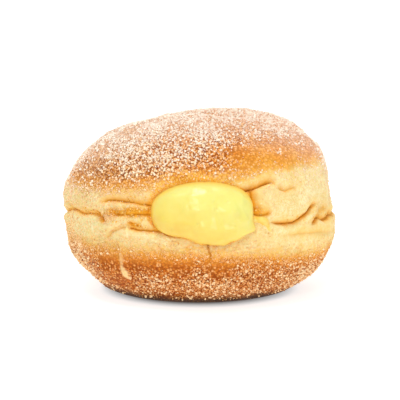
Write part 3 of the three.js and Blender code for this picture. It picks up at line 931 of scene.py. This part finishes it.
# The forms of grains, each about 1 across, as corners and sides.
CUBE = (
    0.43 * np.array([(x, y, z) for x in (-1, 1) for y in (-1, 1) for z in (-1, 1)]),
    np.array([(0, 1, 3, 2), (4, 6, 7, 5), (0, 4, 5, 1), (2, 3, 7, 6), (0, 2, 6, 4), (1, 5, 7, 3)]),
)
GEM = (
    np.array([(0, 0, -0.5), (0.5, 0, 0), (0, 0.5, 0), (-0.5, 0, 0), (0, -0.5, 0), (0, 0, 0.5)]),
    np.array([(0, 2, 1), (0, 3, 2), (0, 4, 3), (0, 1, 4), (5, 1, 2), (5, 2, 3), (5, 3, 4), (5, 4, 1)]),
)
CHIP = (
    0.55 * np.array([(1, 1, 1), (1, -1, -1), (-1, 1, -1), (-1, -1, 1)]),
    np.array([(0, 1, 2), (0, 3, 1), (0, 2, 3), (1, 3, 2)]),
)
GRAIN_TILT = 0.45
GRAIN_STRETCH = (0.65, 1.35)
# Name, grains tried on the crown, on the base and in the belt, the least room for each in millimetres, how
# much they clump, their sizes, their form, and their colours in full light and in painted shade near the
# ground.
SUGAR = [
    ("sugar_coarse", (6400, 2500, 0), 0.66, 1.9, (0.38, 0.6), CUBE, (0.98, 0.74, 0.42), (1.0, 0.70, 0.38)),
    ("sugar_fine", (7000, 3600, 1300), 0.5, 1.3, (0.26, 0.4), GEM, (0.96, 0.66, 0.34), (0.98, 0.56, 0.24)),
    ("sugar_clear", (6000, 3600, 1200), 0.45, 1.0, (0.28, 0.42), GEM, (0.84, 0.42, 0.11), (0.74, 0.29, 0.06)),
    ("sugar_dust", (8000, 5000, 12000), 0.3, 0.7, (0.2, 0.3), CHIP, (0.93, 0.63, 0.31), (0.93, 0.50, 0.18)),
]
SUGAR_HEIGHTS = (8, 58)  # millimetres between which the sugar goes from brown, as painted shade near the ground, to the pale sugar of the top, partly painted light
SUGAR_FROST_AND_LIGHT = (0.0, 0.13, 0.31)  # what the pale sugar at the top has more of red, green and blue, partly as painted light


def scatter(mesh, density, count, rng):
    """Random places on a mesh, and the way out there, by a density known at its vertices."""
    mesh.calc_loop_triangles()
    corners = np.empty(len(mesh.loop_triangles) * 3, np.int32)
    mesh.loop_triangles.foreach_get("vertices", corners)
    corners = corners.reshape(-1, 3)
    points = points_of(mesh)
    a, b, c = (points[corners[:, i]] for i in range(3))
    across = np.cross(b - a, c - a)
    size = np.linalg.norm(across, axis=1)
    weight = size * density[corners].mean(axis=1)
    chosen = rng.choice(len(corners), size=count, p=weight / weight.sum())
    u, v = rng.random(count), rng.random(count)
    fold_back = u + v > 1
    u[fold_back], v[fold_back] = 1 - u[fold_back], 1 - v[fold_back]
    place = a[chosen] + u[:, None] * (b - a)[chosen] + v[:, None] * (c - a)[chosen]
    way = across[chosen] / size[chosen][:, None]
    return place, way


def one_for_each(places, room):
    """The numbers of the places that come first in their own cube of space."""
    cubes = np.floor(places / room).astype(int)
    return np.sort(np.unique(cubes, axis=0, return_index=True)[1])


def grains(name, places, ways, sizes, form, sides, rng, jitter=0.16, sunk=0.22, smooth=False):
    """One joined mesh of grains that lie on the surface, turned and misshapen at random."""
    count = len(places)
    tipped = ways + GRAIN_TILT * rng.standard_normal((count, 3))
    tipped /= np.linalg.norm(tipped, axis=1)[:, None]
    other = rng.standard_normal((count, 3))
    first = np.cross(tipped, other)
    first /= np.linalg.norm(first, axis=1)[:, None]
    second = np.cross(tipped, first)
    axes = np.stack([first, second, tipped], axis=1)
    shape = form[None] * (1 + jitter * rng.standard_normal((count, len(form), 3)))
    shape *= (sizes[:, None] * rng.uniform(*GRAIN_STRETCH, (count, 3)))[:, None, :]
    centre = places + ways * (sizes * (0.5 - sunk))[:, None]
    points = np.einsum("nkj,nji->nki", shape, axes) + centre[:, None]
    points[:, :, 2] = np.maximum(points[:, :, 2], 0)
    faces = sides[None] + (np.arange(count) * len(form))[:, None, None]
    return new_object(name, points.reshape(-1, 3), faces.reshape(-1, sides.shape[1]), smooth)


BELT_CLUMP = (-41, 29.2, 3, 1.2, 3)  # the one clump of sugar in the belt, in the numbers of the next list
SUGAR_PATCHES = [  # bearing, height, reach in degrees and millimetres, and how much more or less sugar
    (-16, 46, 15, 5, 0.45),
    (2, 53, 12, 4, 0.25),
    (-42, 51, 18, 5, 0.4),
    (-62, 41, 16, 5, -0.25),
    (-24, 41, 12, 3, -0.1),
    (-4, 44, 8, 3, -0.4),
    (34, 46, 23, 6, -0.65),
    (75, 46, 20, 6, -0.35),
    (-28, 15, 16, 4, -0.5),
    (28, 9, 17, 5, -0.15),
    (-44, 8, 14, 4, -0.45),
    (8, 13.5, 5, 3, -0.9),
    (-11, 14, 9, 4, -0.7),
    (-38, 14, 9, 5, -0.5),
]
CLUMP_MEAN = 0.5
CLUMP_WAVES = [(9.0, 0.3, 4.0), (2.2, 0.38, 8.0)]  # blobs in millimetres, how much, and seed
CLUMP_LIMITS = (0.02, 1.6)
# Millimetres past the belt's edges, or heights, between which the sugar gets thick.
CROWN_SUGAR = (-4, 5)
TOP_SUGAR = (49, 57)
TOP_SUGAR_MORE = 0.7
BASE_SUGAR = (-3, 6)
FOOT_SUGAR = (1.4, 6.5)
RIM_FREE = (0.2, 1.0)  # millimetres outside the slit's rim between which grains begin
WARMTH_AND_SHADE_BARE = (0.3, 0.6)  # how strong the painted shade and golden tint at the belt's folds are where the grains end
RIM_BARE = 0.5
BELT_SUGAR = 0.1  # least in the belt; it gets more within a reach in millimetres of the crown and the base
BELT_SUGAR_LOW = 0.9
BELT_SUGAR_REACH = 4.5
BELT_BARE = 0.6  # how much less on the right, between two bearings where that starts and two where it ends
BELT_BARE_STARTS = (12, 36)
BELT_BARE_ENDS = (110, 175)
BELT_SUGAR_SHOWN = 0.7  # how much of it the dough's own finish shows
SUGAR_EVENNESS = 0.4  # and how much of the finish doesn't follow the clumps


def sugar_density(known, places):
    """How the sugar clumps, and how thickly it lies on the crown, on the base and in the belt."""
    bearing, height, pale = known["bearing"], known["height"], 1 - known["fried"]
    past_crown = height - crust_edge(bearing)
    past_base = base_edge(bearing) - height
    clumps = CLUMP_MEAN
    for grain, amount, seed in CLUMP_WAVES:
        clumps = clumps + amount * noise_at(places, grain, seed)
    for spot in spots(SUGAR_PATCHES, bearing, height):
        clumps += spot
    crown = smoothstep(past_crown, *CROWN_SUGAR) * (1 + TOP_SUGAR_MORE * smoothstep(height, *TOP_SUGAR))
    base = smoothstep(past_base, *BASE_SUGAR) * smoothstep(height, *FOOT_SUGAR)
    free = smoothstep(known["outside"], *RIM_FREE) * (1 - known["pocket"]) * (1 - known["tear"])
    free = free * (1 - smoothstep(known["warmth_and_shade"], *WARMTH_AND_SHADE_BARE)) * (1 - known["crack"])
    free = free * (1 - RIM_BARE * known["rim"])
    belt = pale * (BELT_SUGAR + np.exp(-np.maximum(-past_crown, 0) / BELT_SUGAR_REACH)) * free
    belt += pale * BELT_SUGAR_LOW * np.exp(-np.maximum(-past_base, 0) / BELT_SUGAR_REACH) * free
    starts, ends = smoothstep(bearing, *BELT_BARE_STARTS), smoothstep(bearing, *BELT_BARE_ENDS)
    belt *= 1 - BELT_BARE * starts * (1 - ends)
    [clump] = spots([BELT_CLUMP], bearing, height)
    return np.clip(clumps, *CLUMP_LIMITS), crown * free, base * free, belt + clump * free


def make_sugar(dough, density):
    rng = np.random.default_rng(26)
    clumps, *thick = density
    for name, counts, room, clumping, size_range, form, light, ground_shade_colour in SUGAR:
        found = [
            scatter(dough.data, on_part * clumps**clumping, count, rng)
            for on_part, count in zip(thick, counts)
        ]
        place, way = (np.concatenate(part) for part in zip(*found))
        apart = one_for_each(place, room)
        sizes = rng.uniform(*size_range, len(apart))
        piece = grains(name, place[apart], way[apart], sizes, *form, rng)
        finish_with(piece, sugar_material(name, light, ground_shade_colour), "fried_dough")


# ---- Materials ----

BLACK = (0, 0, 0)
WHITE = (1, 1, 1)


def node(tree, kind, inputs=None, **settings):
    """A shader node; an input is another node's socket, a colour as red, green and blue, or a value."""
    made = tree.nodes.new("ShaderNode" + kind)
    for name, value in settings.items():
        setattr(made, name, value)
    for name, value in (inputs or {}).items():
        socket = made.inputs[name]
        if isinstance(value, bpy.types.NodeSocket):
            tree.links.new(value, socket)
        else:
            socket.default_value = (*value, 1) if socket.type == "RGBA" else value
    return made


def blank(name):
    """A new material, its empty node tree, and the socket that tells which place is shaded."""
    material = bpy.data.materials.new(name)
    material.use_nodes = True
    tree = material.node_tree
    tree.nodes.clear()
    return material, tree, node(tree, "TexCoord").outputs["Object"]


def math_node(tree, operation, first, second=0.0, third=0.5, clamp=False):
    inputs = {0: first, 1: second, 2: third}
    return node(tree, "Math", inputs, operation=operation, use_clamp=clamp).outputs[0]


def times(tree, product, *others):
    for other in others:
        product = math_node(tree, "MULTIPLY", product, other)
    return product


def ragged(tree, value, *noises):
    """A value made uneven by noises, each with its amount."""
    for uneven, amount in noises:
        swing = times(tree, math_node(tree, "SUBTRACT", uneven, 0.5), amount)
        value = math_node(tree, "ADD", value, swing)
    return value


def mixed(tree, share, first, second, blend="MIX"):
    made = node(tree, "Mix", {0: share, 6: first, 7: second}, data_type="RGBA", blend_type=blend)
    return made.outputs[2]


def tinted(tree, share, look, shade):
    """A look multiplied by a shade, where share is 1."""
    return mixed(tree, share, look, mixed(tree, 1.0, look, shade, blend="MULTIPLY"))


def ramp(tree, value, stops):
    made = node(tree, "ValToRGB", {"Fac": value})
    elements = made.color_ramp.elements
    while len(elements) < len(stops):
        elements.new(0.5)
    for element, (at, shade) in zip(elements, stops):
        element.position = at
        element.color = (*shade, 1)
    return made.outputs["Color"]


def rising(tree, value, span, top=1.0):
    """From 0 to top where a length goes over a span in millimetres."""
    low, high = (far * SCALE for far in span)
    inputs = {"Value": value, "From Min": low, "From Max": high, "To Max": top}
    return node(tree, "MapRange", inputs).outputs["Result"]


def noise_node(tree, where, size, detail=2.0, roughness=0.55):
    """Noise whose blobs are size millimetres across."""
    inputs = {"Vector": where, "Scale": 1 / (size * SCALE), "Detail": detail, "Roughness": roughness}
    return node(tree, "TexNoise", inputs).outputs["Fac"]


def attribute(tree, name):
    return node(tree, "Attribute", attribute_name=name).outputs["Fac"]


def bumped(tree, height, strength, far):
    """The normals of a surface that a height moves by up to far millimetres."""
    inputs = {"Height": height, "Strength": strength, "Distance": far * SCALE}
    return node(tree, "Bump", inputs).outputs["Normal"]


def surface(tree, inputs):
    shader = node(tree, "BsdfPrincipled", inputs)
    output = node(tree, "OutputMaterial")
    tree.links.new(shader.outputs["BSDF"], output.inputs["Surface"])


# Of these marks, those of the folds, creases, cracks, pocket and left side are painted shade, those near the
# ground, of the rim and of the browned patches are partly painted shade, and that of the pale top is partly
# painted light.
MARKS = (
    "brown", "base", "crease_shade", "warmth_and_shade", "crack", "toast_and_shade", "rim", "pocket", "sugar", "frost_and_light", "tear", "scorch_and_shadow",
    "left_shade", "crumbly",
)
DOUGH_BLOBS = (11.0, 4.5, 2.2, 0.8, 0.4)  # millimetres across, from the broadest unevenness to the finest
CRYSTAL = 0.8  # millimetres across the cells of the crust's sugary crackle
FROST_AND_LIGHT_COVERS = 0.65  # how much of the look the pale top's sugar and painted light cover, and how much of the crackle they hide
FROST_AND_LIGHT_HIDES = 0.6


def dough_material():
    material, tree, where = blank("fried_dough_finish")
    brown, base, crease_shade, warmth_and_shade, crack, toast_and_shade, rim, pocket, sugar, frost_and_light, tear, scorch_and_shadow, left_shade, crumbly = (
        attribute(tree, name) for name in MARKS
    )
    broad, blotch, speckle, fine, dust = (noise_node(tree, where, size) for size in DOUGH_BLOBS)
    look = ramp(tree, ragged(tree, brown, (speckle, 0.4), (fine, 0.4), (broad, 0.3)), [
        (0.06, (0.95, 0.92, 0.61)),
        (0.20, (0.93, 0.70, 0.28)),
        (0.38, (0.92, 0.50, 0.095)),
        (0.62, (0.92, 0.42, 0.065)),
        (1.0, (0.85, 0.33, 0.05)),
    ])
    look = tinted(tree, base, look, (0.73, 0.55, 0.42))
    # Painted shade on the left side, which gets less light.
    look = tinted(tree, left_shade, look, (0.93, 0.98, 1.0))
    look = mixed(tree, times(tree, left_shade, brown, 0.4), look, (0.64, 0.42, 0.29))
    for uneven, low, shade in (
        (broad, 0.35, (0.95, 0.90, 0.80)),
        (blotch, 0.40, (0.965, 0.91, 0.80)),
        (fine, 0.42, (0.95, 0.86, 0.70)),
        (dust, 0.42, (0.95, 0.87, 0.74)),
    ):
        tone = ramp(tree, uneven, [(low, shade), (1 - low, WHITE)])
        look = mixed(tree, 1.0, look, tone, blend="MULTIPLY")
    # The pale top: the finest sugar and painted light from above.
    look = mixed(tree, times(tree, frost_and_light, FROST_AND_LIGHT_COVERS), look, (0.93, 0.77, 0.68))
    # The sugary crackle: dark gaps between cells, partly a darker crust and partly painted shadow between the
    # grains; some of the cells are crystals.
    cells = node(tree, "TexVoronoi", {"Vector": where, "Scale": 1 / (CRYSTAL * SCALE)}).outputs
    gap = ramp(tree, cells["Distance"], [(0.28, BLACK), (0.62, WHITE)])
    lot = node(tree, "SeparateColor", {"Color": cells["Color"]}).outputs
    browned = times(tree, brown, math_node(tree, "ADD", 0.3, times(tree, sugar, 0.6)))
    gap_shadow_share = math_node(tree, "MAXIMUM", browned, math_node(tree, "MAXIMUM", toast_and_shade, times(tree, base, 0.65)))
    bare = math_node(tree, "SUBTRACT", 1.0, times(tree, frost_and_light, FROST_AND_LIGHT_HIDES))
    look = tinted(tree, times(tree, gap, times(tree, sugar, 0.8)), look, (0.84, 0.66, 0.42))
    look = tinted(tree, times(tree, gap, gap_shadow_share, bare), look, (0.36, 0.23, 0.12))
    likely = math_node(tree, "SUBTRACT", sugar, lot["Red"])
    shown = math_node(tree, "MULTIPLY_ADD", likely, 5.0, clamp=True)
    pale = mixed(tree, base, (0.95, 0.64, 0.33), (0.97, 0.56, 0.24))
    facet = mixed(tree, lot["Green"], pale, (0.88, 0.45, 0.14))
    crystal = times(tree, shown, math_node(tree, "SUBTRACT", 1.0, gap), 0.6)
    # How much shows of the crumbly dough's colours, of the rim's browning and painted shadow, of the browned
    # patches and painted pocket shade, and of the painted shade in the creases.
    golden = ramp(tree, fine, [(0.5, BLACK), (0.62, WHITE)])
    flaky = ramp(tree, fine, [(0.36, WHITE), (0.46, BLACK)])
    rim_toast_and_shade_share = ramp(tree, ragged(tree, rim, (fine, 0.9), (dust, 0.7)), [(0.2, BLACK), (0.6, WHITE)])
    toast_and_shade_share = ramp(tree, ragged(tree, toast_and_shade, (fine, 0.7), (dust, 0.7)), [(0.25, BLACK), (0.75, WHITE)])
    crease_core_shade = ramp(tree, crease_shade, [(0.72, BLACK), (0.95, WHITE)])
    patchy = ragged(tree, dust, (fine, 0.5))
    rim_toast_and_shade_colours = ramp(tree, patchy, [
        (0.40, (0.84, 0.34, 0.02)),
        (0.52, (0.92, 0.46, 0.05)),
        (0.64, (0.97, 0.70, 0.20)),
    ])
    toast_and_shade_colours = ramp(tree, patchy, [
        (0.40, (0.54, 0.17, 0.012)),
        (0.53, (0.74, 0.31, 0.025)),
        (0.66, (0.90, 0.57, 0.15)),
    ])
    # All of the layers, the lowest first. The one near the ground is painted contact shadow with a more
    # browned underside; those of the folds, the creases, the cracks and the pocket are painted shade; those
    # of the rim and the patches are partly browned crust and partly painted shade.
    for share, shade in (
        (crystal, facet),
        (times(tree, scorch_and_shadow, 0.99), (0.035, 0.008, 0.003)),
        (times(tree, warmth_and_shade, 0.7), (0.90, 0.56, 0.13)),
        (times(tree, golden, crumbly, 0.6), (0.86, 0.50, 0.09)),
        (times(tree, flaky, crumbly, 0.5), (0.98, 0.92, 0.68)),
        (times(tree, rim_toast_and_shade_share, 0.85), rim_toast_and_shade_colours),
        (toast_and_shade_share, toast_and_shade_colours),
        (times(tree, ragged(tree, crease_shade, (dust, 0.6)), 0.95), (0.86, 0.38, 0.01)),
        (times(tree, crease_core_shade, 0.5), (0.50, 0.19, 0.01)),
        (times(tree, ragged(tree, crack, (dust, 0.7)), 0.9), (0.56, 0.21, 0.01)),
        (tear, (0.94, 0.68, 0.32)),
        # The pocket's wall is painted orange as the golden shade in the gap round the custard.
        (pocket, (0.95, 0.50, 0.08)),
    ):
        look = mixed(tree, share, look, shade)
    surface(tree, {
        "Base Color": look,
        "Roughness": 0.9,
        "Specular IOR Level": 0.15,
        "Subsurface Weight": 0.12,
        "Subsurface Radius": (1.0, 0.6, 0.3),
        "Subsurface Scale": 1.2 * SCALE,
        "Sheen Weight": 0.08,
        "Sheen Roughness": 0.4,
        "Sheen Tint": (1, 0.93, 0.86),
        "Normal": bumped(tree, math_node(tree, "ADD", fine, times(tree, speckle, 0.8)), 0.55, 0.3),
    })
    return material


CUSTARD_SHADE_HEIGHTS = (20, 37)  # heights in millimetres between which the yellow goes from darker to lighter, as painted shade lower down
CUSTARD_SHADE_SLANT = 0.3  # and that painted shade is heavier towards the left
CUSTARD_EDGE_SHADE = 0.6  # how much darker it is where it meets the dough, partly thin custard over the dough and partly painted shade


def custard_material():
    material, tree, where = blank("custard_finish")
    along = node(tree, "SeparateXYZ", {"Vector": where}).outputs
    # Painted shade: the yellow is darker lower down, towards the left and where it meets the dough.
    level = math_node(tree, "ADD", along["Z"], times(tree, along["X"], CUSTARD_SHADE_SLANT))
    rise = rising(tree, level, CUSTARD_SHADE_HEIGHTS)
    base = ramp(tree, ragged(tree, rise, (noise_node(tree, where, 5.0), 0.5)), [
        (0.0, (0.79, 0.45, 0.052)),
        (0.4, (0.80, 0.61, 0.11)),
        (1.0, (0.80, 0.75, 0.20)),
    ])
    edge = ramp(tree, attribute(tree, "edge"), [(0.72, BLACK), (0.98, WHITE)])
    surface(tree, {
        "Base Color": mixed(tree, times(tree, edge, CUSTARD_EDGE_SHADE), base, (0.86, 0.44, 0.03)),
        "Roughness": 0.3,
        "Specular IOR Level": 0.5,
        "Subsurface Weight": 0.25,
        "Subsurface Radius": (1.0, 0.75, 0.2),
        "Subsurface Scale": 2.0 * SCALE,
        "Normal": bumped(tree, noise_node(tree, where, 0.9), 0.2, 0.25),
    })
    return material


def smear_material():
    material, tree, where = blank("smear_finish")
    thin = ramp(tree, noise_node(tree, where, 1.6), [
        (0.35, (0.88, 0.52, 0.07)),
        (0.65, (0.88, 0.66, 0.17)),
    ])
    surface(tree, {"Base Color": thin, "Roughness": 0.3, "Specular IOR Level": 0.5})
    return material


def crumb_material():
    material, tree, where = blank("crumb_finish")
    shade = ramp(tree, noise_node(tree, where, 0.9), [
        (0.35, (0.80, 0.38, 0.05)),
        (0.5, (0.88, 0.53, 0.12)),
        (0.65, (0.92, 0.65, 0.22)),
    ])
    surface(tree, {
        "Base Color": shade,
        "Roughness": 0.8,
        "Specular IOR Level": 0.15,
        "Normal": bumped(tree, noise_node(tree, where, 0.3), 0.6, 0.15),
    })
    return material


def sugar_material(name, light, ground_shade_colour):
    material, tree, where = blank(name + "_finish")
    along = node(tree, "SeparateXYZ", {"Vector": where}).outputs
    aside = times(tree, along["X"], along["X"])
    level = math_node(tree, "MULTIPLY_ADD", aside, FROST_AND_LIGHT_SPREAD / SCALE, along["Z"])
    varied = noise_node(tree, where, 1.1, detail=0.0)
    frosted_and_lit = [min(1, part + more) for part, more in zip(light, SUGAR_FROST_AND_LIGHT)]
    # The sugar's colour by height: painted shade near the ground, its colour in full light, and paler with
    # painted light at the top.
    shade = ramp(tree, ragged(tree, rising(tree, level, SUGAR_HEIGHTS), (varied, 0.5)), [
        (0.0, ground_shade_colour),
        (0.3, light),
        (0.6, light),
        (0.95, frosted_and_lit),
    ])
    surface(tree, {"Base Color": shade, "Roughness": 0.3, "Specular IOR Level": 0.3})
    return material


FLOOR_SHADE = (24, 33)  # millimetres from the middle between which the floor's own light comes in, so that it is darker under the doughnut as a painted contact shadow
FLOOR_GLOW = 0.72


def floor_material():
    material, tree, where = blank("floor_finish")
    away = node(tree, "VectorMath", {0: where}, operation="LENGTH").outputs["Value"]
    # The floor gives off light, which also lights the doughnut from below, and is darker under it as a
    # painted contact shadow.
    surface(tree, {
        "Base Color": (0.55, 0.55, 0.55),
        "Roughness": 0.9,
        "Specular IOR Level": 0.1,
        "Emission Color": WHITE,
        "Emission Strength": rising(tree, away, FLOOR_SHADE, top=FLOOR_GLOW),
    })
    return material


def finish_with(piece, material, slot=None):
    piece.data.materials.clear()
    piece.data.materials.append(material)
    if slot:
        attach(piece, "root")


# ---- Stage ----

CAMERA_DISTANCE = 480
CAMERA_ELEVATION = 8.45
CAMERA_TARGET = (0, 0, 30)
CAMERA_ASIDE = 0.37  # millimetres that the view is moved to the right and down, to frame the doughnut
CAMERA_DOWN = 0.67
PIXELS = 400
PIXELS_PER_MM = 3.0
SENSOR = 36
LIGHTS = [  # name, the way it comes from, how wide it is in degrees, and how strong
    ("top_light", (-0.1, -0.15, 1), 25, 1.45),
    ("front_light", (-0.25, -1, 0.6), 10, 0.45),
    ("side_light", (1, -0.9, 0.4), 10, 0.35),
    ("back_light", (-0.2, 1, 0.45), 20, 0.5),
]
WORLD_STRENGTH = 0.59
FLOOR_HALF = 14000


def make_camera():
    data = bpy.data.cameras.new("camera")
    data.sensor_width = SENSOR
    data.lens = SENSOR * PIXELS_PER_MM * CAMERA_DISTANCE / PIXELS
    data.clip_start = 0.01
    data.clip_end = 20
    camera = linked("camera", data)
    tilt = math.radians(CAMERA_ELEVATION)
    back = Vector((0, -math.cos(tilt), math.sin(tilt)))
    up = Vector((0, math.sin(tilt), math.cos(tilt)))
    place = Vector(CAMERA_TARGET) + back * CAMERA_DISTANCE
    place += Vector((CAMERA_ASIDE, 0, 0)) - up * CAMERA_DOWN
    camera.location = place * SCALE
    camera.rotation_euler = (math.radians(90 - CAMERA_ELEVATION), 0, 0)
    bpy.context.scene.camera = camera


def make_sun(name, way, angle, strength):
    """Even light that comes from a direction, as soft as its angle is wide."""
    data = bpy.data.lights.new(name, "SUN")
    data.angle = math.radians(angle)
    data.energy = strength
    linked(name, data).rotation_euler = (-Vector(way)).to_track_quat("-Z", "Y").to_euler()


def make_stage():
    far = FLOOR_HALF
    corners = [(-far, -far, 0), (far, -far, 0), (far, far, 0), (-far, far, 0)]
    floor = new_object("floor", np.array(corners, float), [(0, 1, 2, 3)])
    finish_with(floor, floor_material())
    world = bpy.data.worlds.new("studio")
    world.use_nodes = True
    background = world.node_tree.nodes["Background"]
    background.inputs["Color"].default_value = (1, 1, 1, 1)
    background.inputs["Strength"].default_value = WORLD_STRENGTH
    bpy.context.scene.world = world
    for light in LIGHTS:
        make_sun(*light)
    bpy.context.scene.view_settings.view_transform = "Standard"


def main():
    make_camera()
    make_stage()
    dough, density = make_dough()
    finish_with(dough, dough_material(), "fried_dough")
    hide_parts("dough")
    custard = make_custard()
    finish_with(custard, custard_material(), "custard")
    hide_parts("custard")
    polygons = [p.vertices for p in dough.data.polygons]
    tree = bvhtree.BVHTree.FromPolygons(points_of(dough.data).tolist(), polygons)
    finish_with(make_smear(tree), smear_material(), "custard")
    finish_with(make_crumbs(tree), crumb_material(), "fried_dough")
    make_sugar(dough, density)


main()
